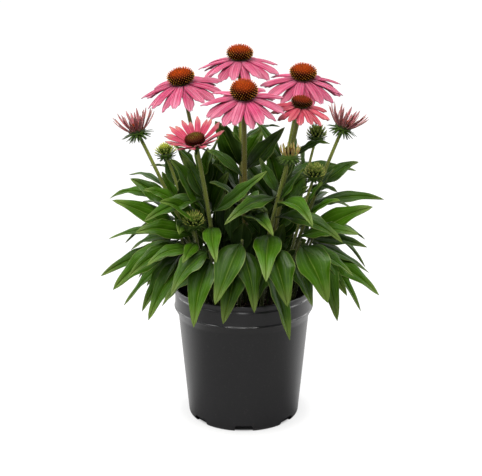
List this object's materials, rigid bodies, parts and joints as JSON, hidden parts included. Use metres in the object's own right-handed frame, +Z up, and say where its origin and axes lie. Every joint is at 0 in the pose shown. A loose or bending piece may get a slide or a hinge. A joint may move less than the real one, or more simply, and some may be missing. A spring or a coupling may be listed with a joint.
{
  "type": "potted purple coneflower plant",
  "caption": "Purple coneflower in a black nursery pot, with drooping pink rays round spiny orange cones, opening heads and green buds over a mound of lance-shaped leaves.",
  "frame": {"origin": "centre of the pot's flat underside, at the level it stands on", "axes": "+Z up along the pot's axis, -Y towards the plant's front, +X to its right seen from the front"},
  "size_m": [0.347, 0.282, 0.4474],
  "materials": {
    "pot_plastic": "satin",
    "potting_soil": "matte",
    "green_growth": "satin",
    "pink_rays": "satin",
    "salmon_rays": "satin",
    "yellow_rays": "satin",
    "orange_cone": "satin",
    "bud_disc": "satin"
  },
  "bodies": {
    "root": {"bud_front_cone": "bud_disc", "bud_front_rays": "yellow_rays", "bud_front_stem": "green_growth", "bud_left_cone": "bud_disc", "bud_left_low_cone": "bud_disc", "bud_left_low_stem": "green_growth", "bud_left_stem": "green_growth", "bud_right_cone": "bud_disc", "bud_right_low_cone": "bud_disc", "bud_right_low_stem": "green_growth", "bud_right_stem": "green_growth", "flower_back_cone": "orange_cone", "flower_back_rays": "pink_rays", "flower_back_stem": "green_growth", "flower_front_cone": "orange_cone", "flower_front_rays": "pink_rays", "flower_front_stem": "green_growth", "flower_left_cone": "orange_cone", "flower_left_low_cone": "orange_cone", "flower_left_low_rays": "salmon_rays", "flower_left_low_stem": "green_growth", "flower_left_rays": "pink_rays", "flower_left_stem": "green_growth", "flower_right_cone": "orange_cone", "flower_right_low_cone": "orange_cone", "flower_right_low_rays": "salmon_rays", "flower_right_low_stem": "green_growth", "flower_right_rays": "pink_rays", "flower_right_stem": "green_growth", "opening_left_cone": "orange_cone", "opening_left_rays": "pink_rays", "opening_left_stem": "green_growth", "opening_right_cone": "orange_cone", "opening_right_rays": "pink_rays", "opening_right_stem": "green_growth", "pot": "pot_plastic", "shoot_back": "green_growth", "shoot_back_left": "green_growth", "shoot_back_right": "green_growth", "shoot_east": "green_growth", "shoot_east_back": "green_growth", "shoot_front": "green_growth", "shoot_front_left": "green_growth", "shoot_front_mid": "green_growth", "shoot_front_right": "green_growth", "shoot_west": "green_growth", "shoot_west_back": "green_growth", "shoot_west_front": "green_growth", "soil": "potting_soil"}
  },
  "joints": []
}
